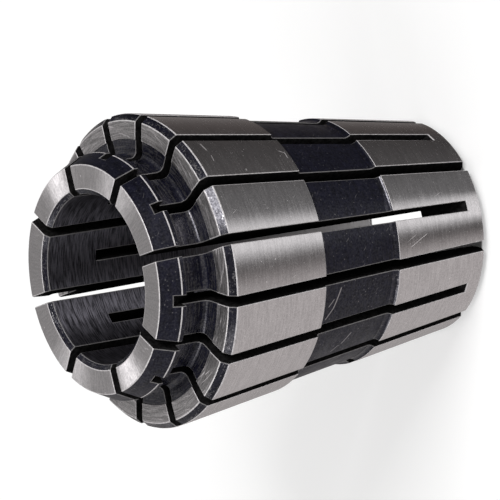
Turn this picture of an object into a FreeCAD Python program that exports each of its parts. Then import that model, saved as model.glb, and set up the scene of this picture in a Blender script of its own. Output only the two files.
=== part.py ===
import FreeCAD, Part
import os

import Sketcher

# Spring collet: a slotted steel sleeve that closes on a round shank when it is pushed into an
# 8 degree seat. One turned body, cut by two sets of saw slots that alternate round it: one set is
# open at the nose and stops short of the rear face, the other is open at the rear and stops in
# the lip of the nose. The collet stands on its rear face. The origin is the centre of that face
# and +Z runs along the axis to the nose. All sizes are millimetres and degrees.

PART_LABEL = "spring_collet"

# Driving dimensions, each with its name and what it measures.
DRIVING = [
    ("bore_diameter", 14.0, "clamping bore, as made"),
    ("body_diameter", 26.0, "largest diameter, at the front end of the tapered body"),
    ("collet_length", 34.0, "nose face to rear face"),
    ("taper_angle", 8.0, "slope of the tapered body to the axis"),
    ("nose_diameter", 18.84, "outer edge of the nose face"),
    ("bore_chamfer_width", 0.45, "chamfer at the nose end of the bore, across the face"),
    ("bore_chamfer_depth", 0.32, "the same chamfer, along the axis"),
    ("nose_cone_length", 1.7, "cone from the nose face to the lip's largest diameter"),
    ("lip_diameter", 20.42, "largest diameter of the lip"),
    ("lip_rear_depth", 2.15, "nose face to the groove side of the lip"),
    ("groove_diameter", 19.0, "floor of the pull groove"),
    ("groove_fillet", 0.5, "fillet between the groove floor and the shoulder"),
    ("shoulder_depth", 4.55, "nose face to the ground ring of the shoulder"),
    ("ring_inner_diameter", 21.94, "inner edge of the ground ring"),
    ("ring_chamfer_width", 0.52, "chamfer from the ring to the body, across the ring"),
    ("ring_height", 0.08, "how far the ground ring stands proud of the groove wall"),
    ("body_depth", 5.13, "nose face to the largest diameter of the body"),
    ("front_land_length", 9.9, "ground land at the front of the body"),
    ("rear_land_depth", 23.5, "nose face to the front edge of the rear land"),
    ("relief_depth", 0.35, "how far the middle of the body lies below the taper"),
    ("relief_front_ramp", 0.35, "slope down from the front land, along the axis"),
    ("relief_rear_ramp", 0.55, "slope up to the rear land, along the axis"),
    ("rear_chamfer_height", 0.5, "outer chamfer of the rear face, along the axis"),
    ("rear_chamfer_share", 0.45, "share of the rear wall that the chamfer takes across the face"),
    ("rear_bore_chamfer_share", 0.125, "share of the rear wall chamfered at the bore"),
    ("slot_count", 8, "slots in each of the two sets"),
    ("slot_width", 1.0, "width of the saw cut"),
    ("saw_radius", 25.0, "radius of the slitting saw that leaves the curved slot ends"),
    ("saw_reach", 3.8, "closest that the saw comes to the axis"),
    ("nose_slot_stop", 1.95, "wall left between a nose-open slot and the rear face, outside"),
    ("rear_slot_stop", 1.05, "wall left between a rear-open slot and the nose face, outside"),
    ("cut_margin", 2.0, "how far a cut runs past the outside of the body"),
]

# Sizes worked out from the driving dimensions.
WORKED_OUT = [
    ("bore_radius", "bore_diameter / 2"),
    ("bore_face_radius", "bore_radius + bore_chamfer_width"),
    ("nose_radius", "nose_diameter / 2"),
    ("lip_radius", "lip_diameter / 2"),
    ("groove_radius", "groove_diameter / 2"),
    ("fillet_radius", "groove_radius + groove_fillet"),
    ("ring_inner_radius", "ring_inner_diameter / 2"),
    ("body_radius", "body_diameter / 2"),
    ("ring_outer_radius", "body_radius - ring_chamfer_width"),
    ("taper_slope", "tan(taper_angle * 1deg)"),
    ("bore_chamfer_height", "collet_length - bore_chamfer_depth"),
    ("lip_height", "collet_length - nose_cone_length"),
    ("lip_rear_height", "collet_length - lip_rear_depth"),
    ("shoulder_height", "collet_length - shoulder_depth"),
    ("groove_wall_height", "shoulder_height - ring_height"),
    ("fillet_height", "groove_wall_height + groove_fillet"),
    ("body_height", "collet_length - body_depth"),
    ("front_land_height", "body_height - front_land_length"),
    ("relief_top_height", "front_land_height - relief_front_ramp"),
    ("rear_land_height", "collet_length - rear_land_depth"),
    ("relief_bottom_height", "rear_land_height + relief_rear_ramp"),
    ("front_land_radius", "body_radius - taper_slope * (body_height - front_land_height)"),
    ("relief_top_radius", "body_radius - taper_slope * (body_height - relief_top_height) - relief_depth"),
    ("relief_bottom_radius",
     "body_radius - taper_slope * (body_height - relief_bottom_height) - relief_depth"),
    ("rear_land_radius", "body_radius - taper_slope * (body_height - rear_land_height)"),
    ("rear_edge_radius", "body_radius - taper_slope * (body_height - rear_chamfer_height)"),
    ("rear_wall", "rear_edge_radius - bore_radius"),
    ("rear_face_radius", "rear_edge_radius - rear_wall * rear_chamfer_share"),
    ("rear_bore_chamfer", "rear_wall * rear_bore_chamfer_share"),
    ("rear_bore_radius", "bore_radius + rear_bore_chamfer"),
    ("half_pitch_angle", "180 / slot_count"),
    ("saw_centre_radius", "saw_reach + saw_radius"),
    ("cut_radius", "body_radius + cut_margin"),
    ("above_nose", "collet_length + cut_margin"),
    ("nose_stop_radius", "body_radius - taper_slope * (body_height - nose_slot_stop)"),
    ("rear_stop_radius",
     "nose_radius + (lip_radius - nose_radius) * rear_slot_stop / nose_cone_length"),
    ("nose_saw_height",
     "nose_slot_stop + sqrt(saw_radius ^ 2 - (saw_centre_radius - nose_stop_radius) ^ 2)"),
    ("rear_saw_height",
     "collet_length - rear_slot_stop"
     " - sqrt(saw_radius ^ 2 - (saw_centre_radius - rear_stop_radius) ^ 2)"),
    ("saw_corner_drop", "sqrt(saw_radius ^ 2 - (saw_centre_radius - cut_radius) ^ 2)"),
    ("nose_cut_corner_height", "nose_saw_height - saw_corner_drop"),
    ("rear_cut_corner_height", "rear_saw_height + saw_corner_drop"),
]

# The half section, as radius and height of each corner, from the rear end of the bore round the
# outside to the nose and back down the bore. None stands for the rear face, which is height zero.
SECTION_BELOW_GROOVE = [
    ("bore_radius", "rear_bore_chamfer"),
    ("rear_bore_radius", None),
    ("rear_face_radius", None),
    ("rear_edge_radius", "rear_chamfer_height"),
    ("rear_land_radius", "rear_land_height"),
    ("relief_bottom_radius", "relief_bottom_height"),
    ("relief_top_radius", "relief_top_height"),
    ("front_land_radius", "front_land_height"),
    ("body_radius", "body_height"),
    ("ring_outer_radius", "shoulder_height"),
    ("ring_inner_radius", "shoulder_height"),
    ("ring_inner_radius", "groove_wall_height"),
    ("fillet_radius", "groove_wall_height"),
]
SECTION_ABOVE_GROOVE = [
    ("groove_radius", "fillet_height"),
    ("groove_radius", "lip_rear_height"),
    ("lip_radius", "lip_rear_height"),
    ("lip_radius", "lip_height"),
    ("nose_radius", "collet_length"),
    ("bore_face_radius", "collet_length"),
    ("bore_radius", "bore_chamfer_height"),
]

# Names for the two ends of a line or an arc, and for the centre of an arc.
START, END, CENTRE = range(1, 4)
ORIGIN_POINT = (-1, 1)
HORIZONTAL_AXIS = -1


def fill_sheet(doc):
    """Write the driving dimensions and the sizes worked out from them."""
    sheet = doc.addObject("Spreadsheet::Sheet", "Dimensions")
    row = 1
    for name, value, meaning in DRIVING:
        sheet.set(f"A{row}", name)
        sheet.set(f"B{row}", str(value))
        sheet.set(f"C{row}", meaning)
        sheet.setAlias(f"B{row}", name)
        row += 1
    for name, formula in WORKED_OUT:
        sheet.set(f"A{row}", name)
        sheet.set(f"B{row}", "=" + formula)
        sheet.setAlias(f"B{row}", name)
        row += 1
    doc.recompute()
    return sheet


def origin_plane(body, role):
    """Find one of the body's own origin planes or axes."""
    return next(item for item in body.Origin.OriginFeatures if item.Role == role)


def new_sketch(body, name):
    """Start a sketch on the body's XZ plane: across is the radius, up is the height."""
    sketch = body.newObject("Sketcher::SketchObject", name)
    sketch.AttachmentSupport = [(origin_plane(body, "XZ_Plane"), "")]
    sketch.MapMode = "FlatFace"
    return sketch


def bind_constraint(sketch, constraint, alias):
    """Tie a size constraint to a cell of the sheet."""
    index = sketch.addConstraint(constraint)
    sketch.setExpression(f"Constraints[{index}]", f"Dimensions.{alias}")


def place_point(sketch, sheet, geometry, point, radius, height):
    """Hold a point of the sketch at a radius and a height from the sheet."""
    bind_constraint(
        sketch,
        Sketcher.Constraint("DistanceX", *ORIGIN_POINT, geometry, point, sheet.get(radius)),
        radius,
    )
    if height is None:
        sketch.addConstraint(Sketcher.Constraint("PointOnObject", geometry, point, HORIZONTAL_AXIS))
        return
    bind_constraint(
        sketch,
        Sketcher.Constraint("DistanceY", *ORIGIN_POINT, geometry, point, sheet.get(height)),
        height,
    )


def sketch_point(sheet, radius, height):
    """Give the starting position of a corner."""
    up = sheet.get(height) if height else 0.0
    return FreeCAD.Vector(sheet.get(radius), up, 0)


def add_line(sketch, sheet, first, second):
    """Draw a line between two corners of the section and hold its start."""
    line = Part.LineSegment(sketch_point(sheet, *first), sketch_point(sheet, *second))
    index = sketch.addGeometry(line, False)
    place_point(sketch, sheet, index, START, *first)
    return index


def draw_section(body, sheet):
    """Draw the half section of the turned body with its one rounded corner."""
    sketch = new_sketch(body, "HalfSection")
    chain = []
    below = SECTION_BELOW_GROOVE
    above = SECTION_ABOVE_GROOVE
    for first, second in zip(below, below[1:]):
        chain.append(add_line(sketch, sheet, first, second))

    centre = sketch_point(sheet, "fillet_radius", "fillet_height")
    circle = Part.Circle(centre, FreeCAD.Vector(0, 0, 1), sheet.get("groove_fillet"))
    start = sketch_point(sheet, *above[0])
    end = sketch_point(sheet, *below[-1])
    fillet = sketch.addGeometry(Part.ArcOfCircle(circle, circle.parameter(start), circle.parameter(end)))
    place_point(sketch, sheet, fillet, END, *below[-1])
    bind_constraint(
        sketch, Sketcher.Constraint("Radius", fillet, sheet.get("groove_fillet")), "groove_fillet"
    )

    closing = above + [below[0]]
    upper = [add_line(sketch, sheet, first, second) for first, second in zip(closing, closing[1:])]

    for line, following in zip(chain, chain[1:]):
        sketch.addConstraint(Sketcher.Constraint("Coincident", line, END, following, START))
    sketch.addConstraint(Sketcher.Constraint("Coincident", chain[-1], END, fillet, END))
    sketch.addConstraint(Sketcher.Constraint("Coincident", fillet, START, upper[0], START))
    for line, following in zip(upper, upper[1:] + chain[:1]):
        sketch.addConstraint(Sketcher.Constraint("Coincident", line, END, following, START))
    return sketch


def draw_slot(body, sheet, name, saw_height, corner_height, open_height):
    """Draw the path of the slitting saw: open at one end, the saw's own arc at the other."""
    sketch = new_sketch(body, name)
    centre = sketch_point(sheet, "saw_centre_radius", saw_height)
    deepest = sketch_point(sheet, "saw_reach", saw_height)
    corner = sketch_point(sheet, "cut_radius", corner_height)
    open_level = sheet.get(open_height) if open_height else -sheet.get("cut_margin")
    inner = FreeCAD.Vector(deepest.x, open_level, 0)
    outer = FreeCAD.Vector(corner.x, open_level, 0)

    circle = Part.Circle(centre, FreeCAD.Vector(0, 0, 1), sheet.get("saw_radius"))
    opens_at_nose = open_height is not None
    first, last = (deepest, corner) if opens_at_nose else (corner, deepest)
    arc = sketch.addGeometry(Part.ArcOfCircle(circle, circle.parameter(first), circle.parameter(last)))
    deep_end, corner_end = (START, END) if opens_at_nose else (END, START)
    inside = sketch.addGeometry(Part.LineSegment(deepest, inner))
    across = sketch.addGeometry(Part.LineSegment(inner, outer))
    outside = sketch.addGeometry(Part.LineSegment(outer, corner))

    place_point(sketch, sheet, arc, CENTRE, "saw_centre_radius", saw_height)
    bind_constraint(sketch, Sketcher.Constraint("Radius", arc, sheet.get("saw_radius")), "saw_radius")
    sketch.addConstraint(Sketcher.Constraint("Tangent", arc, deep_end, inside, START))
    sketch.addConstraint(Sketcher.Constraint("Coincident", inside, END, across, START))
    sketch.addConstraint(Sketcher.Constraint("Coincident", across, END, outside, START))
    sketch.addConstraint(Sketcher.Constraint("Coincident", outside, END, arc, corner_end))
    sketch.addConstraint(Sketcher.Constraint("Vertical", inside))
    sketch.addConstraint(Sketcher.Constraint("Vertical", outside))
    sketch.addConstraint(Sketcher.Constraint("Horizontal", across))
    bind_constraint(
        sketch,
        Sketcher.Constraint("DistanceX", *ORIGIN_POINT, outside, START, corner.x),
        "cut_radius",
    )
    if opens_at_nose:
        bind_constraint(
            sketch,
            Sketcher.Constraint("DistanceY", *ORIGIN_POINT, across, START, open_level),
            open_height,
        )
    else:
        bind_constraint(
            sketch,
            Sketcher.Constraint("DistanceY", across, START, *ORIGIN_POINT, -open_level),
            "cut_margin",
        )
    return sketch


def cut_slots(body, sketch, name):
    """Cut one slot along the sketch and repeat it round the axis."""
    before = body.Shape.Volume
    pocket = body.newObject("PartDesign::Pocket", name)
    pocket.Profile = sketch
    pocket.Type = "Length"
    pocket.SideType = "Symmetric"
    pocket.setExpression("Length", "Dimensions.slot_width")
    body.Document.recompute()
    one_slot = before - pocket.Shape.Volume
    pattern = body.newObject("PartDesign::PolarPattern", name + "Round")
    pattern.Originals = [pocket]
    pattern.Axis = (origin_plane(body, "Z_Axis"), [""])
    pattern.Angle = 360
    pattern.setExpression("Occurrences", "Dimensions.slot_count")
    body.Tip = pattern
    body.Document.recompute()
    all_slots = before - body.Shape.Volume
    print(f"{name}: one slot removes {one_slot:.2f} mm3, the set {all_slots:.2f} mm3")
    if one_slot < 1.0 or abs(all_slots - pattern.Occurrences * one_slot) > 0.01 * all_slots:
        raise RuntimeError(name + " did not cut every slot")


def build_collet(doc, sheet):
    """Turn the body, then saw the nose-open slots and the rear-open slots between them."""
    body = doc.addObject("PartDesign::Body", "SpringCollet")
    body.Label = PART_LABEL
    section = draw_section(body, sheet)
    turned = body.newObject("PartDesign::Revolution", "TurnedBody")
    turned.Profile = section
    turned.ReferenceAxis = (section, ["V_Axis"])
    turned.Angle = 360
    doc.recompute()

    nose_open = draw_slot(
        body, sheet, "NoseSlotPath", "nose_saw_height", "nose_cut_corner_height", "above_nose"
    )
    doc.recompute()
    cut_slots(body, nose_open, "NoseSlot")

    rear_open = draw_slot(
        body, sheet, "RearSlotPath", "rear_saw_height", "rear_cut_corner_height", None
    )
    half_pitch = FreeCAD.Rotation(FreeCAD.Vector(0, 1, 0), sheet.get("half_pitch_angle"))
    rear_open.AttachmentOffset = FreeCAD.Placement(FreeCAD.Vector(), half_pitch)
    rear_open.setExpression(".AttachmentOffset.Rotation.Angle", "Dimensions.half_pitch_angle")
    doc.recompute()
    cut_slots(body, rear_open, "RearSlot")
    body.Placement = FreeCAD.Placement()
    return body


def check_document(doc, bodies):
    """Stop if any object failed or any sub-part has no valid single solid."""
    doc.recompute()
    for item in doc.Objects:
        if "Invalid" in item.State or "Error" in item.State:
            raise RuntimeError(item.Name + " failed: " + str(item.State))
    for body in bodies:
        shape = body.Shape
        if shape.isNull() or not shape.isValid() or len(shape.Solids) != 1:
            raise RuntimeError(body.Label + " is not one valid solid")
        box = shape.BoundBox
        print(
            f"{body.Label}: {shape.Volume:.1f} mm3, "
            f"{box.XLength:.3f} x {box.YLength:.3f} x {box.ZLength:.3f} mm, lowest {box.ZMin:.3f}"
        )


def write_parts(bodies):
    """Write one STEP file for each sub-part, named after it."""
    os.makedirs("parts", exist_ok=True)
    for body in bodies:
        body.Shape.exportStep(f"parts/{body.Label}.step")


document = FreeCAD.newDocument("SpringCollet")
dimensions = fill_sheet(document)
sub_parts = [build_collet(document, dimensions)]
check_document(document, sub_parts)
write_parts(sub_parts)
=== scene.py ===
import math

import bpy
import numpy as np
from mathutils import Matrix, Vector


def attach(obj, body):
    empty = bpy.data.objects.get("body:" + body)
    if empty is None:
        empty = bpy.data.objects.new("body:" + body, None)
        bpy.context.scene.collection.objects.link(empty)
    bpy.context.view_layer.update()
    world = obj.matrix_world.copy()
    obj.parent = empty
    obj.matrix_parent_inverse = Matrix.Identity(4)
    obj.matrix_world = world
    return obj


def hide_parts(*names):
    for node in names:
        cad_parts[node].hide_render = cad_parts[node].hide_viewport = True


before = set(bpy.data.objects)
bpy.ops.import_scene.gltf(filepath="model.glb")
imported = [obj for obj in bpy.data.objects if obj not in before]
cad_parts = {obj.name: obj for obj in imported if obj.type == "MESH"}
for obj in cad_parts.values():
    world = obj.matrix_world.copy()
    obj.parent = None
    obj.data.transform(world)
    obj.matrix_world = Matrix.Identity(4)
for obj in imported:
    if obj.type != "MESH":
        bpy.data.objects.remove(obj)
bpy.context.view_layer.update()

# A slotted steel spring collet standing on its rear face, seen from above its nose.
# The collet is one mesh: a turned section, cut by sixteen saw slots, with every edge broken.
# Sizes are millimetres, heights run from the rear face to the nose.

MM = 0.001

# Sizes of the collet: those of the part's source, as radii where that has diameters.
LENGTH = 34.0
BORE_RADIUS = 7.0
BODY_RADIUS = 13.0
TAPER_SLOPE = math.tan(math.radians(8.0))
NOSE_RADIUS = 9.42
BORE_CHAMFER_WIDTH = 0.45
BORE_CHAMFER_DEPTH = 0.32
NOSE_CONE_LENGTH = 1.7
LIP_RADIUS = 10.21
LIP_REAR_DEPTH = 2.15
GROOVE_RADIUS = 9.5
GROOVE_FILLET = 0.5
SHOULDER_DEPTH = 4.55
RING_INNER_RADIUS = 10.97
RING_OUTER_RADIUS = 12.48
RING_HEIGHT = 0.08
BODY_DEPTH = 5.13
FRONT_LAND_LENGTH = 9.9
REAR_LAND_DEPTH = 23.5
RELIEF_DEPTH = 0.35
RELIEF_FRONT_RAMP = 0.35
RELIEF_REAR_RAMP = 0.55
REAR_CHAMFER_HEIGHT = 0.5
REAR_CHAMFER_SHARE = 0.45
REAR_BORE_CHAMFER_SHARE = 0.125
SLOTS_PER_SET = 8
SLOT_WIDTH = 1.0
SAW_RADIUS = 25.0
SAW_REACH = 3.8
NOSE_SLOT_STOP = 1.95
REAR_SLOT_STOP = 1.05

# The rubbed edge along each slot. The slot has its full width at the skin, and its two walls
# stand closer together by an edge on each side. The edge drops by a share of its width, and
# beside a fine broken edge of the section by no more than a share of that edge.
SLOT_EDGE = 0.07
EDGE_DROP = 0.7
FINE_EDGE_DROP = 0.8
SLOT_SKIN = SLOT_WIDTH / 2
SLOT_WALL = SLOT_WIDTH / 2 - SLOT_EDGE

# Fineness of the mesh, and how close two corners lie to be welded.
ARC_STEPS = 6
SAW_ARC_STEPS = 10
SKIN_COLUMNS = 9
WELD = 1e-4

# The finishes, in the order of the mesh's material slots.
FINISHES = [
    "land", "nose", "ring", "bore", "relief", "ramp", "lip",
    "groove", "chamfer", "slot", "edge", "worn_edge", "rear",
]
GROUND_FINISHES = ("land", "nose", "ring", "rear")


def taper_radius(height):
    """Radius of the 8 degree cone at a height."""
    return BODY_RADIUS - TAPER_SLOPE * (LENGTH - BODY_DEPTH - height)


def relief_arc(relief_height, land_height):
    """Corners of the hollow ramp between the relief and a land, from the lower end up, and its circle."""
    slope = math.atan(TAPER_SLOPE)
    outward = np.array((math.cos(slope), -math.sin(slope)))
    foot = np.array((taper_radius(relief_height) - RELIEF_DEPTH, relief_height))
    top = np.array((taper_radius(land_height), land_height))
    across = top - foot
    radius = across @ across / (2 * outward @ across)
    centre = foot + outward * radius
    lower, upper = sorted((foot, top), key=lambda point: point[1])
    turns = [math.atan2(*(point - centre)[::-1]) % (2 * math.pi) for point in (upper, lower)]
    points = [
        centre + radius * np.array((math.cos(turn), math.sin(turn)))
        for turn in np.linspace(*turns, ARC_STEPS + 1)
    ]
    points.sort(key=lambda point: point[1])
    return points, (centre, radius)


def groove_arc():
    """Corners of the fillet at the foot of the shoulder, and its circle."""
    centre_height = LENGTH - SHOULDER_DEPTH - RING_HEIGHT + GROOVE_FILLET
    centre = np.array((GROOVE_RADIUS + GROOVE_FILLET, centre_height))
    turns = np.linspace(0.0, math.pi / 2, ARC_STEPS + 1)
    points = [centre - GROOVE_FILLET * np.array((math.sin(turn), math.cos(turn))) for turn in turns]
    return points, (centre, GROOVE_FILLET)


def section_corners():
    """Corners of the half section and the circles of its arcs.

    A corner is a radius, a height, the width of its edge break and the finish of the band after it.
    """
    rear_edge = taper_radius(REAR_CHAMFER_HEIGHT)
    wall = rear_edge - BORE_RADIUS
    body = LENGTH - BODY_DEPTH
    front_land = body - FRONT_LAND_LENGTH
    rear_land = LENGTH - REAR_LAND_DEPTH
    shoulder = LENGTH - SHOULDER_DEPTH
    rear_ramp, rear_circle = relief_arc(rear_land + RELIEF_REAR_RAMP, rear_land)
    front_ramp, front_circle = relief_arc(front_land - RELIEF_FRONT_RAMP, front_land)
    fillet, fillet_circle = groove_arc()
    corners = [
        (BORE_RADIUS, wall * REAR_BORE_CHAMFER_SHARE, 0.04, "rear"),
        (BORE_RADIUS + wall * REAR_BORE_CHAMFER_SHARE, 0.0, 0.04, "rear"),
        (rear_edge - wall * REAR_CHAMFER_SHARE, 0.0, 0.06, "relief"),
        (rear_edge, REAR_CHAMFER_HEIGHT, 0.08, "land"),
        (*rear_ramp[0], 0.03, "ramp"),
    ]
    corners += [(*point, 0.0, "ramp") for point in rear_ramp[1:-1]]
    corners.append((*rear_ramp[-1], 0.0, "relief"))
    corners += [(*point, 0.0, "ramp") for point in front_ramp[:-1]]
    corners += [
        (*front_ramp[-1], 0.05, "land"),
        (BODY_RADIUS, body, 0.07, "chamfer"),
        (RING_OUTER_RADIUS, shoulder, 0.06, "ring"),
        (RING_INNER_RADIUS, shoulder, 0.025, "groove"),
        (RING_INNER_RADIUS, shoulder - RING_HEIGHT, 0.02, "groove"),
    ]
    corners += [(*point, 0.0, "groove") for point in fillet]
    corners += [
        (GROOVE_RADIUS, LENGTH - LIP_REAR_DEPTH, 0.03, "groove"),
        (LIP_RADIUS, LENGTH - LIP_REAR_DEPTH, 0.05, "lip"),
        (LIP_RADIUS, LENGTH - NOSE_CONE_LENGTH, 0.06, "lip"),
        (NOSE_RADIUS, LENGTH, 0.06, "nose"),
        (BORE_RADIUS + BORE_CHAMFER_WIDTH, LENGTH, 0.04, "chamfer"),
        (BORE_RADIUS, LENGTH - BORE_CHAMFER_DEPTH, 0.05, "bore"),
    ]
    return corners, (rear_circle, front_circle, fillet_circle)


def segment_normal(first, second):
    """Outward normal of a band of the section, as its radius and height parts."""
    across, up = second - first
    return np.array((up, -across)) / math.hypot(across, up)


def edge_finish(before, after):
    """Finish of the broken edge between two bands."""
    ground = before in GROUND_FINISHES or after in GROUND_FINISHES
    lip_crest = before == after == "lip"
    return "edge" if ground or lip_crest else "worn_edge"


class Saw:
    """The path of one slot set's saw in the section plane."""

    def __init__(self, stop_radius, stop_height, opens_up):
        self.centre_radius = SAW_REACH + SAW_RADIUS
        self.sign = 1.0 if opens_up else -1.0
        self.centre_height = stop_height + self.sign * self.drop(stop_radius)

    def drop(self, radius):
        """Height between the saw's centre and its rim at a radius."""
        return math.sqrt(SAW_RADIUS ** 2 - (self.centre_radius - radius) ** 2)

    def rim(self, radius):
        """Point of the slot's curved end at a radius."""
        return np.array((radius, self.centre_height - self.sign * self.drop(radius)))

    def cuts(self, point):
        """Tell whether the saw passes through a point of the section."""
        return self.sign * (point[1] - self.rim(point[0])[1]) > 0

    def along(self, radius, distance):
        """Point of the curved end at a small distance from a radius, outwards if positive."""
        nearby = self.rim(radius + 0.01) - self.rim(radius)
        return self.rim(radius + distance * nearby[0] / np.linalg.norm(nearby))

    def normal(self, radius):
        """Normal of the curved end, pointing into the slot."""
        toward = np.array((self.centre_radius, self.centre_height)) - self.rim(radius)
        return toward / np.linalg.norm(toward)


def crossing(first, second, saw):
    """Distance along a band at which the curved end of a slot crosses it."""
    low, high = 0.0, 1.0
    for _ in range(40):
        middle = (low + high) / 2
        if saw.cuts(first + (second - first) * middle) == saw.cuts(first):
            low = middle
        else:
            high = middle
    return low * np.linalg.norm(second - first)


class Row:
    """A point of the section: its normal, its band's finish and the finish up to the next row."""

    def __init__(self, point, normal, band, slot_end, drop):
        self.point = point
        self.normal = normal
        self.band = band
        self.finish = band
        self.slot_end = slot_end
        self.drop = drop


def edge_drop(edge_break):
    """Depth of a slot wall's edge under the skin, small enough that the wall's outline never folds."""
    full = SLOT_EDGE * EDGE_DROP
    return min(full, FINE_EDGE_DROP * edge_break) if edge_break > 0 else full


def band_rows(here, following, band, breaks, saws):
    """Rows of one band of the section, with a pair of rows beside each slot end on it."""
    length = np.linalg.norm(following - here)
    direction = (following - here) / length
    stations = [(breaks[0], None, edge_drop(breaks[0]))]
    for saw in saws:
        if saw.cuts(here) != saw.cuts(following):
            place = crossing(here, following, saw)
            end = (saw, (here + direction * place)[0])
            starts_cut = saw.cuts(here)
            stations.append((place - SLOT_EDGE, end if starts_cut else None, edge_drop(0.0)))
            stations.append((place + SLOT_EDGE, None if starts_cut else end, edge_drop(0.0)))
    if breaks[1] > 0:
        stations.append((length - breaks[1], None, edge_drop(breaks[1])))
    stations.sort(key=lambda station: station[0])
    normal = segment_normal(here, following)
    return [Row(here + direction * along, normal, band, end, drop) for along, end, drop in stations]


def section_rows(saws):
    """All rows of the closed section, from the rear of the bore round the outside and back."""
    corners, arcs = section_corners()
    rows = []
    for corner, following in zip(corners, corners[1:] + corners[:1]):
        here, there = np.array(corner[:2]), np.array(following[:2])
        made = band_rows(here, there, corner[3], (corner[2], following[2]), saws)
        if following[2] > 0:
            made[-1].finish = edge_finish(corner[3], following[3])
        rows += made
    for row in rows:
        for centre, radius in arcs:
            offset = centre - row.point
            if abs(np.linalg.norm(offset) - radius) < 1e-6:
                row.normal = offset / radius
    return rows


class Soup:
    """Faces with their own corner places and normals, welded into one mesh at the end."""

    def __init__(self):
        self.places = []
        self.normals = []
        self.sizes = []
        self.finishes = []

    def add(self, corners, finish):
        """Add a face, turned so that it agrees with its corner normals."""
        places = np.array([corner[0] for corner in corners])
        normals = np.array([corner[1] for corner in corners])
        turned = np.cross(places, np.roll(places, -1, axis=0)).sum(axis=0)
        if turned @ normals.sum(axis=0) < 0:
            places, normals = places[::-1], normals[::-1]
        self.places.append(places)
        self.normals.append(normals)
        self.sizes.append(len(corners))
        self.finishes.append(FINISHES.index(finish))


class Side:
    """One of the two slots beside a wedge: its saw, and where its middle plane lies."""

    def __init__(self, saw, middle_angle, turn):
        self.saw = saw
        self.middle_angle = middle_angle
        self.turn = turn
        self.wall_normal = np.array((math.sin(middle_angle), -math.cos(middle_angle), 0.0)) * turn

    def angle(self, radius, distance):
        """Angle round the axis of a point at a distance from the slot's middle plane."""
        return self.middle_angle + self.turn * math.asin(distance / radius)

    def place(self, point, distance):
        """Place of a section point moved off the slot's middle plane."""
        angle = self.angle(point[0], distance)
        return np.array((point[0] * math.cos(angle), point[0] * math.sin(angle), point[1]))

    def skin(self, row, distance):
        """Corner on the turned surface."""
        angle = self.angle(row.point[0], distance)
        return self.place(row.point, distance), spun(row.normal, angle)

    def lowered(self, row):
        """Section point of the slot wall's edge: under the skin, or on the curved end."""
        if row.slot_end is None or row.slot_end[0] is not self.saw:
            return row.point - row.normal * row.drop
        inward = 1.0 if row.band == "bore" else -1.0
        return self.saw.along(row.slot_end[1], inward * SLOT_EDGE)

    def wall(self, row):
        """Corner on the slot wall."""
        return self.place(self.lowered(row), SLOT_WALL), self.wall_normal

    def rim(self, point, distance):
        """Corner on the slot's curved end."""
        return self.place(point, distance), spun(self.saw.normal(point[0]), self.middle_angle)


def spun(normal, angle):
    """Turn a section normal round the axis."""
    return np.array((normal[0] * math.cos(angle), normal[0] * math.sin(angle), normal[1]))


def add_beside_slot(soup, side, here, following):
    """Faces of one row beside a slot: its broken edge, or the skin that runs across past its end."""
    cut_here, cut_next = side.saw.cuts(here.point), side.saw.cuts(following.point)
    middle, inner, outer = 0.0, SLOT_WALL, SLOT_SKIN
    here_inner = side.wall(here) if cut_here else side.skin(here, inner)
    next_inner = side.wall(following) if cut_next else side.skin(following, inner)
    ground = here.band in GROUND_FINISHES or following.band in GROUND_FINISHES
    broken = ("edge" if ground else "worn_edge") if cut_here or cut_next else here.finish
    soup.add((here_inner, side.skin(here, outer), side.skin(following, outer), next_inner), broken)
    if cut_here and cut_next:
        return
    across = []
    for row, cut, distances in ((here, cut_here, (middle, inner)), (following, cut_next, (inner, middle))):
        point = side.lowered(row) if cut else None
        across += [side.rim(point, d) if cut else side.skin(row, d) for d in distances]
    soup.add(across, broken if cut_here or cut_next else here.finish)


def add_slot_surfaces(soup, side, rows):
    """The flat wall of a slot and its curved end."""
    cut = [side.saw.cuts(row.point) for row in rows]
    start = next(i for i in range(len(rows)) if cut[i] and not cut[i - 1])
    run = []
    while cut[(start + len(run)) % len(rows)]:
        run.append(rows[(start + len(run)) % len(rows)])
    last, first = side.lowered(run[-1]), side.lowered(run[0])
    radii = np.linspace(last[0], first[0], SAW_ARC_STEPS + 1)
    rim = [last] + [side.saw.rim(radius) for radius in radii[1:-1]] + [first]
    outline = [side.wall(row) for row in run]
    outline += [(side.place(point, SLOT_WALL), side.wall_normal) for point in rim[1:-1]]
    soup.add(outline, "slot")
    near, far = 0.0, SLOT_WALL
    for lower, upper in zip(rim, rim[1:]):
        below = (side.rim(lower, near), side.rim(lower, far))
        above = (side.rim(upper, far), side.rim(upper, near))
        soup.add(below + above, "slot")


def skin_corners(row, sides):
    """Corners along one row of the turned surface, from slot to slot."""
    first, last = (side.angle(row.point[0], SLOT_SKIN) for side in sides)
    radius, height = row.point
    corners = []
    for angle in np.linspace(first, last, SKIN_COLUMNS + 1):
        place = np.array((radius * math.cos(angle), radius * math.sin(angle), height))
        corners.append((place, spun(row.normal, angle)))
    return corners


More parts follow.
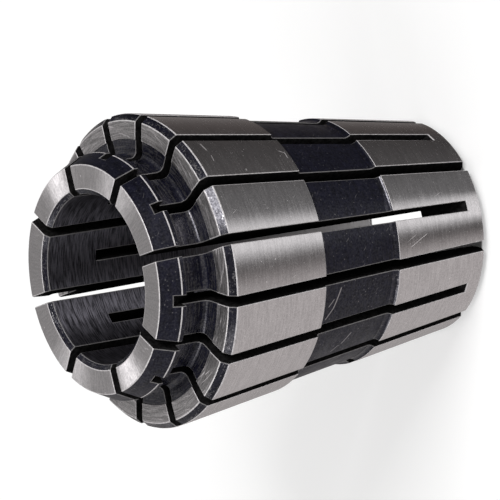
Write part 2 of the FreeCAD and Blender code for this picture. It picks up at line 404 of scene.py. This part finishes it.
def build_wedge():
    """One sixteenth of the collet, from the middle of a nose-open slot to that of a rear-open one."""
    rear_stop_radius = NOSE_RADIUS + (LIP_RADIUS - NOSE_RADIUS) * REAR_SLOT_STOP / NOSE_CONE_LENGTH
    sides = (
        Side(Saw(taper_radius(NOSE_SLOT_STOP), NOSE_SLOT_STOP, True), 0.0, 1.0),
        Side(Saw(rear_stop_radius, LENGTH - REAR_SLOT_STOP, False), math.pi / SLOTS_PER_SET, -1.0),
    )
    rows = section_rows([side.saw for side in sides])
    soup = Soup()
    for here, following in zip(rows, rows[1:] + rows[:1]):
        below, above = skin_corners(here, sides), skin_corners(following, sides)
        for step in range(SKIN_COLUMNS):
            soup.add((below[step], below[step + 1], above[step + 1], above[step]), here.finish)
        for side in sides:
            add_beside_slot(soup, side, here, following)
    for side in sides:
        add_slot_surfaces(soup, side, rows)
    return soup


def repeat_wedge(soup):
    """Mirror the wedge, repeat both round the axis and weld everything into one closed mesh."""
    places = np.concatenate(soup.places)
    normals = np.concatenate(soup.normals)
    starts = np.concatenate(([0], np.cumsum(soup.sizes)))
    back = np.concatenate([np.arange(b - 1, a - 1, -1) for a, b in zip(starts, starts[1:])])
    flip = np.array((1.0, -1.0, 1.0))
    all_places, all_normals = [], []
    for index in range(SLOTS_PER_SET):
        turn = 2 * math.pi * index / SLOTS_PER_SET
        c, s = math.cos(turn), math.sin(turn)
        spin = np.array(((c, -s, 0.0), (s, c, 0.0), (0.0, 0.0, 1.0)))
        for p, n in ((places, normals), (places[back] * flip, normals[back] * flip)):
            all_places.append(p @ spin.T)
            all_normals.append(n @ spin.T)
    places, normals = np.concatenate(all_places), np.concatenate(all_normals)
    _, kept, welded = np.unique(np.round(places / WELD), axis=0, return_index=True, return_inverse=True)
    welded = welded.ravel()
    faces, corners = [], []
    start = 0
    for size in soup.sizes * (2 * SLOTS_PER_SET):
        own = [start + i for i in range(size) if welded[start + i] != welded[start + (i + 1) % size]]
        faces.append([int(welded[i]) for i in own])
        corners += own
        start += size
    return places[kept] * MM, faces, normals[corners], soup.finishes * (2 * SLOTS_PER_SET)


def make_collet(materials):
    """Build the collet's mesh object with one material slot for each finish."""
    places, faces, normals, finishes = repeat_wedge(build_wedge())
    mesh = bpy.data.meshes.new("collet")
    mesh.from_pydata(places.tolist(), [], faces)
    for finish in FINISHES:
        mesh.materials.append(materials[finish])
    mesh.polygons.foreach_set("material_index", finishes)
    mesh.polygons.foreach_set("use_smooth", [True] * len(faces))
    mesh.normals_split_custom_set(normals.tolist())
    mesh.update()
    collet = bpy.data.objects.new("spring_collet_steel", mesh)
    bpy.context.scene.collection.objects.link(collet)
    return collet


def add_node(tree, kind, inputs=None, **settings):
    """Add a shader node, set its fields and fill or link its inputs."""
    node = tree.nodes.new(kind)
    for name, value in settings.items():
        setattr(node, name, value)
    for name, value in (inputs or {}).items():
        socket = node.inputs[name]
        if isinstance(value, bpy.types.NodeSocket):
            tree.links.new(value, socket)
        else:
            socket.default_value = value
    return node


def math_node(tree, operation, first, second=0.0, third=0.0):
    """One arithmetic step."""
    return add_node(tree, "ShaderNodeMath", {0: first, 1: second, 2: third}, operation=operation).outputs[0]


def remap(tree, value, low, high, to_low, to_high):
    """Stretch a value from one span to another, held at both ends."""
    span = {"Value": value, "From Min": low, "From Max": high, "To Min": to_low, "To Max": to_high}
    return add_node(tree, "ShaderNodeMapRange", span).outputs[0]


# The span that most of a noise lies in.
NOISE_SPAN = (0.35, 0.65)


def spread(tree, noise, to_low, to_high, span=NOISE_SPAN):
    """Stretch a noise over two values."""
    return remap(tree, noise, *span, to_low, to_high)


def turned_coordinates(tree):
    """Direction round the axis, radius and height in millimetres."""
    place = add_node(tree, "ShaderNodeTexCoord").outputs["Object"]
    scaled = {0: place, "Scale": 1 / MM}
    in_mm = add_node(tree, "ShaderNodeVectorMath", scaled, operation="SCALE").outputs[0]
    parts = add_node(tree, "ShaderNodeSeparateXYZ", {0: in_mm}).outputs
    flat = add_node(tree, "ShaderNodeCombineXYZ", {"X": parts["X"], "Y": parts["Y"]}).outputs[0]
    radius = add_node(tree, "ShaderNodeVectorMath", {0: flat}, operation="LENGTH").outputs["Value"]
    around = add_node(tree, "ShaderNodeVectorMath", {0: flat}, operation="NORMALIZE").outputs[0]
    return {"place": in_mm, "radius": radius, "around": around, "height": parts["Z"]}


# How much faster the turning lines change along the radius than along the height.
RADIUS_WEIGHT = 1.7


def turned_noise(tree, where, around, across, detail=2.0, shift=0.0):
    """Noise drawn out into lines round the axis: around is per radian, across per millimetre."""
    step = math_node(tree, "MULTIPLY_ADD", where["radius"], RADIUS_WEIGHT, where["height"])
    lifted = math_node(tree, "MULTIPLY_ADD", step, across, shift)
    ring = add_node(tree, "ShaderNodeVectorMath", {0: where["around"], "Scale": around}, operation="SCALE")
    up = add_node(tree, "ShaderNodeCombineXYZ", {"Z": lifted}).outputs[0]
    vector = add_node(tree, "ShaderNodeVectorMath", {0: ring.outputs[0], 1: up}, operation="ADD").outputs[0]
    noise = add_node(tree, "ShaderNodeTexNoise", {"Vector": vector, "Scale": 1.0, "Detail": detail})
    return noise.outputs["Fac"]


def radial_noise(tree, where, around, detail=2.0):
    """Noise drawn out into lines that run from the axis outwards: around is per radian."""
    ring = add_node(tree, "ShaderNodeVectorMath", {0: where["around"], "Scale": around}, operation="SCALE")
    up = add_node(tree, "ShaderNodeCombineXYZ", {"Z": where["radius"]}).outputs[0]
    vector = add_node(tree, "ShaderNodeVectorMath", {0: ring.outputs[0], 1: up}, operation="ADD").outputs[0]
    noise = add_node(tree, "ShaderNodeTexNoise", {"Vector": vector, "Scale": 1.0, "Detail": detail})
    return noise.outputs["Fac"]


def plain_noise(tree, where, scale, detail=3.0):
    """Noise with the same grain in every direction, scale per millimetre."""
    inputs = {"Vector": where["place"], "Scale": scale, "Detail": detail}
    return add_node(tree, "ShaderNodeTexNoise", inputs).outputs["Fac"]


def mix_colour(tree, share, first, second):
    """Blend two colours."""
    node = add_node(tree, "ShaderNodeMix", data_type="RGBA")
    for name, value in (("Factor_Float", share), ("A_Color", first), ("B_Color", second)):
        socket = next(item for item in node.inputs if item.identifier == name)
        if isinstance(value, bpy.types.NodeSocket):
            tree.links.new(value, socket)
        else:
            socket.default_value = value
    return next(item for item in node.outputs if item.identifier == "Result_Color")


def grey(value, warmth=0.0):
    """A grey with a little more red and less blue."""
    return (value * (1 + warmth), value, value * (1 - warmth), 1.0)


def start_material(name):
    """A material with an empty node tree."""
    material = bpy.data.materials.new(name)
    material.use_nodes = True
    material.node_tree.nodes.clear()
    return material, material.node_tree


BUMP_DEPTH = 0.02


def finish_shader(tree, colour, roughness, height, strength, values):
    """Join the pattern outputs to one Principled shader."""
    relief = {"Height": height, "Strength": strength, "Distance": BUMP_DEPTH * MM}
    bump = add_node(tree, "ShaderNodeBump", relief)
    inputs = {"Base Color": colour, "Roughness": roughness, "Normal": bump.outputs[0]}
    inputs.update(values)
    shader = add_node(tree, "ShaderNodeBsdfPrincipled", inputs)
    if values.get("Anisotropic"):
        tangent = add_node(tree, "ShaderNodeTangent", direction_type="RADIAL", axis="Z").outputs[0]
        tree.links.new(tangent, shader.inputs["Tangent"])
    output = add_node(tree, "ShaderNodeOutputMaterial")
    tree.links.new(shader.outputs[0], output.inputs["Surface"])


def laid_flat(tree, where):
    """Place on the skin laid flat: distance round the body and distance along the section."""
    parts = add_node(tree, "ShaderNodeSeparateXYZ", {0: where["around"]}).outputs
    angle = math_node(tree, "ARCTAN2", parts["Y"], parts["X"])
    arc = math_node(tree, "MULTIPLY", angle, BODY_RADIUS)
    along = math_node(tree, "SUBTRACT", where["height"], where["radius"])
    return add_node(tree, "ShaderNodeCombineXYZ", {"X": arc, "Y": along}).outputs[0]


# Stray scratches are the peaks of a noise drawn out along them: how many lie beside each other in
# a millimetre, and the heights of the noise between which a scratch fades in.
SCRATCH_FINENESS = 9.0
SCRATCH_PEAKS = (0.78, 0.82)


def stray_scratches(tree, where, slant, amount, length=1.5):
    """1 on thin straight scratches at a slant to the turning lines, 0 elsewhere."""
    turning = {"Vector": laid_flat(tree, where), "Angle": math.radians(slant)}
    turned = add_node(tree, "ShaderNodeVectorRotate", turning, rotation_type="Z_AXIS").outputs[0]
    stretch = {0: turned, 1: (1 / length, SCRATCH_FINENESS, 1.0)}
    drawn = add_node(tree, "ShaderNodeVectorMath", stretch, operation="MULTIPLY").outputs[0]
    noise = add_node(tree, "ShaderNodeTexNoise", {"Vector": drawn, "Scale": 1.0, "Detail": 1.0})
    low, high = SCRATCH_PEAKS
    return remap(tree, noise.outputs["Fac"], low - amount, high - amount, 0.0, 1.0)


# Single scratches that can be made out in the photo: azimuth and height of both ends, and width.
LAND_SCRATCHES = [
    (-60.2, 9.07, -55.8, 7.27, 0.02),
    (-4.5, 27.37, -7.8, 27.26, 0.08),
    (-9.2, 19.8, -10.3, 19.35, 0.06),
    (-10.3, 19.35, -13.1, 19.38, 0.06),
    (-10.9, 27.18, -13.4, 27.28, 0.03),
    (-18.2, 24.48, -18.6, 24.5, 0.08),
]
RELIEF_SCRATCHES = [
    (-72.5, 16.96, -80.9, 17.62, 0.07),
    (-80.9, 17.62, -85.5, 18.32, 0.06),
    (-77.1, 17.7, -79.7, 18.18, 0.04),
    (-98.0, 14.61, -103.5, 15.21, 0.06),
    (-104.5, 15.57, -107.4, 16.01, 0.04),
]
SCRATCH_END_FADE = 0.12
SCRATCH_SIDE_FADE = 0.03
SCRATCH_TONE = 0.35


def drawn_scratch(tree, flat, scratch, depth):
    """1 along one straight scratch on the skin, at a depth below the cone of the lands, 0 elsewhere."""
    ends = [
        Vector((BODY_RADIUS * math.radians(azimuth), height - taper_radius(height) + depth, 0.0))
        for azimuth, height in (scratch[:2], scratch[2:4])
    ]
    along = ends[1] - ends[0]
    across = Vector((-along.y, along.x, 0.0)).normalized()
    middle = (ends[0] + ends[1]) / 2
    offset = add_node(tree, "ShaderNodeVectorMath", {0: flat, 1: middle}, operation="SUBTRACT").outputs[0]
    mask = 1.0
    spans = (
        (along.normalized(), along.length / 2, SCRATCH_END_FADE),
        (across, scratch[4] / 2, SCRATCH_SIDE_FADE),
    )
    for axis, reach, fade in spans:
        part = add_node(tree, "ShaderNodeVectorMath", {0: offset, 1: axis}, operation="DOT_PRODUCT")
        distance = math_node(tree, "ABSOLUTE", part.outputs["Value"])
        within = remap(tree, distance, reach, reach + fade, 1.0, 0.0)
        mask = math_node(tree, "MULTIPLY", within, mask)
    return mask


def drawn_scratches(tree, where, scratches, depth=0.0):
    """1 on any of the listed scratches, 0 elsewhere."""
    flat = laid_flat(tree, where)
    masks = [drawn_scratch(tree, flat, scratch, depth) for scratch in scratches]
    total = masks[0]
    for mask in masks[1:]:
        total = math_node(tree, "MAXIMUM", total, mask)
    return total


SPECK_FADE = 0.05


def specks(tree, where, scale, threshold):
    """1 on small round specks, 0 elsewhere."""
    noise = plain_noise(tree, where, scale, detail=1.0)
    return remap(tree, noise, threshold, threshold + SPECK_FADE, 0.0, 1.0)


def steel_tone(value):
    """Colour of bare steel, a little warm."""
    return (value * 1.02, value * 0.98, value * 0.995, 1.0)


def bore_tone(value):
    """Colour of the bore, steel with a thin blue-grey film."""
    return (value * 1.0, value * 0.96, value * 1.12, 1.0)


def oxide_tone(value):
    """Colour of the black finish, a little blue."""
    return (value * 0.8, value * 0.82, value * 1.8, 1.0)


# Colour of what the black finish mirrors.
GLOSS_TINT = (0.93, 0.91, 1.0, 1.0)


# Heights between which the bore's colour turns lighter towards its rear end: painted light for the light
# that comes in through the rear opening.
PAINTED_REAR_LIGHT_BLEND = (12.0, 20.0)
# What broad lines count for beside the fine ones, and how much rougher and lighter worn spots are.
BROAD_SHARE = 0.15
WORN_ROUGHNESS = 0.4
WORN_GAIN = 1.7
WORN_LIMIT = 0.9


def ground_pattern(tree, where, fine, lines, grain, radial):
    """Grinding lines, fine and broad, with an even grain between them."""
    if radial:
        broad = radial_noise(tree, where, lines / 6)
    else:
        broad = turned_noise(tree, where, 3.0, lines / 6, shift=40.0)
    pattern = math_node(tree, "MULTIPLY", plain_noise(tree, where, 7.0, detail=1.0), grain)
    pattern = math_node(tree, "MULTIPLY_ADD", broad, BROAD_SHARE, pattern)
    return math_node(tree, "MULTIPLY_ADD", fine, 1 - BROAD_SHARE - grain, pattern)


def ground_steel(
    name, tone, roughness, anisotropy, lines, contrast,
    grain=0.4, bump=0.25, radial=False, marks=0.04, slant=55.0,
    tint=steel_tone, painted_rear_light_tone=None, scratches=(),
):
    """Bare steel with fine grinding lines round the axis or out from it, a grain and a few scratches, and
    optionally painted light that makes it lighter towards the rear end.
    """
    material, tree = start_material(name)
    where = turned_coordinates(tree)
    fine = radial_noise(tree, where, lines) if radial else turned_noise(tree, where, 6.0, lines)
    pattern = ground_pattern(tree, where, fine, lines, grain, radial)
    share = spread(tree, pattern, 0.0, 1.0, span=(0.4, 0.6))
    colour = mix_colour(tree, share, tint(tone * (1 - contrast)), tint(tone * (1 + contrast)))
    # Painted light: the colour turns lighter towards the rear end.
    if painted_rear_light_tone:
        painted_rear_light = remap(tree, where["height"], *PAINTED_REAR_LIGHT_BLEND, 1.0, 0.0)
        colour = mix_colour(tree, painted_rear_light, colour, steel_tone(painted_rear_light_tone))
    worn = stray_scratches(tree, where, slant, marks, length=2.5)
    worn = math_node(tree, "MAXIMUM", worn, specks(tree, where, 5.0, 0.75))
    if scratches:
        worn = math_node(tree, "MAXIMUM", worn, drawn_scratches(tree, where, scratches))
    colour = mix_colour(tree, worn, colour, steel_tone(min(tone * WORN_GAIN, WORN_LIMIT)))
    rough = spread(tree, pattern, roughness * 0.85, roughness * 1.15, span=(0.36, 0.64))
    rough = math_node(tree, "MULTIPLY_ADD", worn, WORN_ROUGHNESS, rough)
    lined = remap(tree, worn, 0.0, 1.0, anisotropy, 0.0)
    values = {"Metallic": 1.0, "Anisotropic": lined, "Anisotropic Rotation": 0.0 if radial else 0.25}
    finish_shader(tree, colour, rough, fine, bump, values)
    return material


def black_oxide(
    name, tone, gloss, roughness,
    rings=0.3, rubbed=(0.72, 0.8), bare=0.25, grain=0.4, scratches=(),
):
    """Blackened steel with turning rings, scratched, and bare where a streaky noise is past a span."""
    material, tree = start_material(name)
    where = turned_coordinates(tree)
    lines = turned_noise(tree, where, 5.0, 7.0)
    mottle = plain_noise(tree, where, 2.5)
    share = math_node(tree, "MULTIPLY_ADD", lines, 0.5, math_node(tree, "MULTIPLY", mottle, 0.5))
    share = spread(tree, share, 0.0, 1.0, span=(0.38, 0.62))
    base = mix_colour(tree, share, oxide_tone(tone * 0.5), oxide_tone(tone * 1.5))
    streaks = math_node(tree, "MULTIPLY", turned_noise(tree, where, 7.0, 6.0, shift=20.0), 1 - grain)
    streaks = math_node(tree, "MULTIPLY_ADD", plain_noise(tree, where, 7.0), grain, streaks)
    patches = remap(tree, streaks, rubbed[0], rubbed[1], 0.0, 1.0)
    bright = math_node(tree, "MAXIMUM", patches, specks(tree, where, 6.0, 0.73))
    bright = math_node(tree, "MAXIMUM", bright, stray_scratches(tree, where, 35.0, 0.04))
    colour = mix_colour(tree, bright, base, steel_tone(bare))
    if scratches:
        drawn = drawn_scratches(tree, where, scratches, depth=RELIEF_DEPTH)
        colour = mix_colour(tree, drawn, colour, steel_tone(SCRATCH_TONE))
        bright = math_node(tree, "MAXIMUM", bright, drawn)
    rough = spread(tree, plain_noise(tree, where, 0.8), roughness * 0.85, roughness * 1.2)
    polish = spread(tree, plain_noise(tree, where, 6.0), gloss * 0.5, gloss * 1.5)
    values = {"Metallic": bright, "Specular IOR Level": polish, "Specular Tint": GLOSS_TINT}
    finish_shader(tree, colour, rough, lines, rings, values)
    return material


def sawn_wall(name, tone, roughness):
    """The dull black wall of a slot, with faint marks of the saw."""
    material, tree = start_material(name)
    where = turned_coordinates(tree)
    grain = plain_noise(tree, where, 3.0)
    share = spread(tree, grain, 0.0, 1.0)
    colour = mix_colour(tree, share, steel_tone(tone * 0.5), steel_tone(tone * 1.5))
    rough = spread(tree, grain, roughness * 0.85, roughness * 1.15)
    finish_shader(tree, colour, rough, grain, 0.3, {"Metallic": 0.0, "Specular IOR Level": 0.0})
    return material


def broken_edge(name, tone, roughness):
    """The narrow rubbed bevel along an edge, which catches light from all round."""
    material, tree = start_material(name)
    where = turned_coordinates(tree)
    grain = plain_noise(tree, where, 4.0)
    share = spread(tree, grain, 0.0, 1.0, span=(0.35, 0.6))
    colour = mix_colour(tree, share, steel_tone(tone * 0.7), steel_tone(tone))
    rough = spread(tree, grain, roughness * 1.2, roughness * 0.8)
    finish_shader(tree, colour, rough, grain, 0.1, {"Metallic": 0.3})
    return material


def make_materials():
    """One material for each finish of the collet."""
    return {
        "land": ground_steel(
            "ground_land", tone=0.55, roughness=0.24, anisotropy=0.7, lines=6.0, contrast=0.13,
            marks=0.02, scratches=LAND_SCRATCHES,
        ),
        "nose": ground_steel(
            "ground_face", tone=0.62, roughness=0.45, anisotropy=1.0, lines=60.0, contrast=0.15,
            radial=True, marks=0.02,
        ),
        "ring": ground_steel(
            "ground_ring", tone=0.44, roughness=0.42, anisotropy=0.5, lines=7.0, contrast=0.4,
            grain=0.3, marks=0.14, slant=12.0,
        ),
        # The bore's lighter rear end is painted light.
        "bore": ground_steel(
            "ground_bore", tone=0.1, roughness=0.48, anisotropy=0.9, lines=11.0, contrast=0.6,
            grain=0.1, bump=0.4, tint=bore_tone, painted_rear_light_tone=0.36,
        ),
        "rear": ground_steel(
            "ground_rear", tone=0.5, roughness=0.3, anisotropy=0.6, lines=8.0, contrast=0.2,
        ),
        "relief": black_oxide(
            "oxide_relief", tone=0.008, gloss=0.28, roughness=0.4, scratches=RELIEF_SCRATCHES,
        ),
        "ramp": black_oxide("oxide_ramp", tone=0.006, gloss=0.6, roughness=0.16),
        "lip": black_oxide("oxide_lip", tone=0.007, gloss=0.32, roughness=0.36),
        "groove": black_oxide(
            "oxide_groove", tone=0.007, gloss=0.45, roughness=0.24,
            rings=0.6, rubbed=(0.5, 0.75), bare=0.15,
        ),
        "chamfer": black_oxide(
            "rubbed_chamfer", tone=0.006, gloss=0.4, roughness=0.17,
            rings=0.9, rubbed=(0.56, 0.7), bare=0.3, grain=0.5,
        ),
        "slot": sawn_wall("sawn_wall", tone=0.012, roughness=0.5),
        "edge": broken_edge("broken_edge", tone=0.75, roughness=0.5),
        "worn_edge": broken_edge("rubbed_edge", tone=0.24, roughness=0.6),
    }


# Camera, from a fit of the collet's corners to the photograph.
CAMERA_PLACE = (206.32, -257.877, 250.34)
CAMERA_AIM = (4.92, -5.659, 23.381)
CAMERA_UP = (0.8293, 0.5428, -0.1327)
CAMERA_LENS = 350.41
CAMERA_SENSOR = 36.0


def make_camera():
    """Place the camera at the photograph's angle and roll."""
    data = bpy.data.cameras.new("camera")
    data.lens = CAMERA_LENS
    data.sensor_width = CAMERA_SENSOR
    data.clip_start = 0.01
    data.clip_end = 50.0
    camera = bpy.data.objects.new("camera", data)
    bpy.context.scene.collection.objects.link(camera)
    back = (Vector(CAMERA_PLACE) - Vector(CAMERA_AIM)).normalized()
    right = Vector(CAMERA_UP).cross(back).normalized()
    up = back.cross(right)
    matrix = Matrix((right, up, back)).transposed().to_4x4()
    matrix.translation = Vector(CAMERA_PLACE) * MM
    camera.matrix_world = matrix
    bpy.context.scene.camera = camera


# The floor, with its own radius in metres. It glows evenly outside the collet's foot; under the foot the
# glow is left out, a painted contact shade, and in the well of the bore it glows as a painted pool of
# light, more and more from the dark to the light place on y, so painted shade on one side.
FLOOR_RADIUS = 3.0
FLOOR_SIDES = 64
FLOOR_TONE = 0.62
FLOOR_GLOW = 0.45
FOOT_RADIUS = 8.2
WELL_RADIUS = 7.2
WELL_DARK = -1.7
WELL_LIGHT = 0.2
GLOW_FADE = 0.2


def make_floor():
    """A plain pale floor that glows where the camera or a reflection shows it, with painted shade under the
    collet's foot and a painted pool of light in the well of the bore.
    """
    mesh = bpy.data.meshes.new("floor")
    around = [2 * math.pi * side / FLOOR_SIDES for side in range(FLOOR_SIDES)]
    ring = [(FLOOR_RADIUS * math.cos(turn), FLOOR_RADIUS * math.sin(turn), 0.0) for turn in around]
    mesh.from_pydata(ring, [], [tuple(range(FLOOR_SIDES))])
    floor = bpy.data.objects.new("floor", mesh)
    bpy.context.scene.collection.objects.link(floor)
    material, tree = start_material("floor_paper")
    material.cycles.emission_sampling = "NONE"
    paper = add_node(tree, "ShaderNodeBsdfDiffuse", {"Color": grey(FLOOR_TONE)}).outputs[0]
    rays = add_node(tree, "ShaderNodeLightPath").outputs
    seen = math_node(tree, "MAXIMUM", rays["Is Camera Ray"], rays["Is Glossy Ray"])
    seen = math_node(tree, "MAXIMUM", seen, rays["Is Transmission Ray"])
    where = turned_coordinates(tree)
    # No glow under the collet's foot: painted shade.
    open_floor = remap(tree, where["radius"], FOOT_RADIUS - GLOW_FADE, FOOT_RADIUS, 0.0, FLOOR_GLOW)
    # Glow in the well of the bore, fading along y: painted light and painted shade.
    painted_well_light = remap(tree, where["radius"], WELL_RADIUS - GLOW_FADE, WELL_RADIUS, 1.0, 0.0)
    across = add_node(tree, "ShaderNodeSeparateXYZ", {0: where["place"]}).outputs["Y"]
    painted_well_light = math_node(tree, "MULTIPLY", painted_well_light, remap(tree, across, WELL_DARK, WELL_LIGHT, 0.0, 1.0))
    strength = math_node(tree, "MULTIPLY", seen, math_node(tree, "MAXIMUM", open_floor, painted_well_light))
    glow = add_node(tree, "ShaderNodeEmission", {"Strength": strength}).outputs[0]
    both = add_node(tree, "ShaderNodeAddShader", {0: paper, 1: glow}).outputs[0]
    output = add_node(tree, "ShaderNodeOutputMaterial")
    tree.links.new(both, output.inputs["Surface"])
    mesh.materials.append(material)


def direction(azimuth, elevation):
    """Unit vector towards an azimuth round the axis and a height above the floor, in degrees."""
    a, e = math.radians(azimuth), math.radians(elevation)
    return Vector((math.cos(a) * math.cos(e), math.sin(a) * math.cos(e), math.sin(e)))


# Studio lamps: name, azimuth, elevation, distance, width and height in metres, brightness.
SOFTBOXES = [
    ("key", -7.0, 47.0, 0.8, 0.34, 0.26, 13.4),
    ("side_fill", -136.0, 48.0, 0.8, 0.6, 0.34, 2.6),
]
WORLD_LIGHT = 0.42
CENTRE = Vector((0.0, 0.0, 0.5 * LENGTH * MM))


def make_lamps():
    """Soft boxes that face the collet, and an even world light."""
    for name, azimuth, elevation, distance, width, height, brightness in SOFTBOXES:
        data = bpy.data.lights.new(name, "AREA")
        data.shape = "RECTANGLE"
        data.size = width
        data.size_y = height
        data.energy = brightness * math.pi * width * height
        lamp = bpy.data.objects.new(name, data)
        bpy.context.scene.collection.objects.link(lamp)
        away = direction(azimuth, elevation)
        lamp.location = CENTRE + away * distance
        lamp.rotation_euler = away.to_track_quat("Z", "Y").to_euler()
    world = bpy.data.worlds.new("world")
    bpy.context.scene.world = world
    world.use_nodes = True
    background = world.node_tree.nodes["Background"]
    background.inputs["Color"].default_value = grey(1.0, 0.01)
    background.inputs["Strength"].default_value = WORLD_LIGHT


# A glowing card that lies on the floor and shows only in the polish of the lands: a painted reflection.
# Each point of it is where a land sends the camera's line of sight, so its bands run along the lands:
# azimuth of the land, brightness of the painted reflection, and how warm its grey is.
CARD_BANDS = [
    (-133.0, 0.35, 0.03), (-117.0, 0.45, 0.03), (-108.0, 0.58, 0.03), (-85.0, 0.62, 0.03),
    (-70.0, 0.62, 0.03), (-64.0, 0.52, 0.03), (-60.0, 0.3, 0.04), (-57.5, 0.16, 0.04),
    (-55.0, 0.18, 0.02), (-52.5, 0.55, 0.0), (-50.0, 1.1, 0.0), (-42.0, 1.0, 0.0),
    (-39.5, 0.6, 0.0), (-37.5, 0.2, 0.0), (-28.0, 0.16, 0.0), (-20.0, 0.1, 0.02),
    (-5.0, 0.07, 0.03), (8.0, 0.09, 0.1), (16.0, 0.16, 0.06), (31.0, 0.4, 0.03),
]
# Heights on the cone of the lands, carried on far above the collet, that give the card's two rims.
CARD_SPAN = (0.3, 165.0)
CARD_STEPS = 160
CARD_HEIGHTS = 16
CARD_LIFT = 0.1


def mirrored_on_floor(azimuth, height):
    """Where the line of sight to a land goes on to after its reflection, on the floor."""
    turn = math.radians(azimuth)
    slope = math.atan(TAPER_SLOPE)
    level = math.cos(slope)
    normal = Vector((math.cos(turn) * level, math.sin(turn) * level, -math.sin(slope)))
    radius = taper_radius(height)
    point = Vector((radius * math.cos(turn), radius * math.sin(turn), height))
    sight = (Vector(CAMERA_PLACE) - point).normalized()
    away = 2 * normal.dot(sight) * normal - sight
    return point - away * (point.z - CARD_LIFT) / away.z


def make_painted_reflection_card():
    """A flat glowing card round the foot of the collet, a painted reflection whose brightness changes from
    land to land.
    """
    stops, brightness, warmth = zip(*CARD_BANDS)
    azimuths = np.linspace(stops[0], stops[-1], CARD_STEPS + 1)
    tones = np.interp(azimuths, stops, brightness)
    warm = np.interp(azimuths, stops, warmth)
    heights = np.geomspace(*CARD_SPAN, CARD_HEIGHTS)
    points = [mirrored_on_floor(azimuth, height) * MM for azimuth in azimuths for height in heights]
    n = CARD_HEIGHTS
    faces = [
        (n * i + j, n * i + j + 1, n * (i + 1) + j + 1, n * (i + 1) + j)
        for i in range(CARD_STEPS)
        for j in range(n - 1)
    ]
    mesh = bpy.data.meshes.new("painted_reflection_card")
    mesh.from_pydata(points, [], faces)
    red, green, blue = tones * (1 + warm), tones * (1 - 0.5 * warm), tones * (1 - warm)
    colours = np.stack((red, green, blue, np.ones_like(tones)), axis=1)
    layer = mesh.attributes.new("tone", "FLOAT_COLOR", "POINT")
    layer.data.foreach_set("color", np.repeat(colours, n, axis=0).ravel())
    card = bpy.data.objects.new("painted_reflection_card", mesh)
    bpy.context.scene.collection.objects.link(card)
    material, tree = start_material("painted_reflection_card")
    tone = add_node(tree, "ShaderNodeAttribute", attribute_name="tone").outputs["Color"]
    # The card glows though it is no lamp: a painted reflection.
    shader = add_node(tree, "ShaderNodeEmission", {"Color": tone})
    output = add_node(tree, "ShaderNodeOutputMaterial")
    tree.links.new(shader.outputs[0], output.inputs["Surface"])
    mesh.materials.append(material)
    card.visible_camera = False
    card.visible_diffuse = False
    card.visible_shadow = False


# A dimly glowing screen behind the collet's right side, which shows only in its reflections: a painted dark
# reflection.
SCREEN_SPAN = (5.0, 98.0)
SCREEN_RADIUS = 80.0
SCREEN_HEIGHTS = (0.2, 60.0)
SCREEN_TONE = 0.07
SCREEN_STEPS = 24


def make_painted_dark_reflection_screen():
    """An upright, dimly glowing screen on part of a circle round the collet, a painted dark reflection."""
    points = []
    for azimuth in np.linspace(*SCREEN_SPAN, SCREEN_STEPS + 1):
        turn = math.radians(azimuth)
        x, y = SCREEN_RADIUS * math.cos(turn), SCREEN_RADIUS * math.sin(turn)
        points += [(x, y, height) for height in SCREEN_HEIGHTS]
    faces = [(2 * i, 2 * i + 2, 2 * i + 3, 2 * i + 1) for i in range(SCREEN_STEPS)]
    mesh = bpy.data.meshes.new("painted_dark_reflection_screen")
    mesh.from_pydata([Vector(point) * MM for point in points], [], faces)
    screen = bpy.data.objects.new("painted_dark_reflection_screen", mesh)
    bpy.context.scene.collection.objects.link(screen)
    material, tree = start_material("painted_dark_reflection_screen")
    # The screen's dim glow is a painted dark reflection, not a lamp.
    shader = add_node(tree, "ShaderNodeEmission", {"Strength": SCREEN_TONE})
    output = add_node(tree, "ShaderNodeOutputMaterial")
    tree.links.new(shader.outputs[0], output.inputs["Surface"])
    mesh.materials.append(material)
    screen.visible_camera = False
    screen.visible_diffuse = False
    screen.visible_shadow = False


make_camera()
make_floor()
make_lamps()
make_painted_reflection_card()
make_painted_dark_reflection_screen()
collet = make_collet(make_materials())
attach(collet, "root")
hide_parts("spring_collet")

bpy.context.scene.view_settings.view_transform = "Standard"
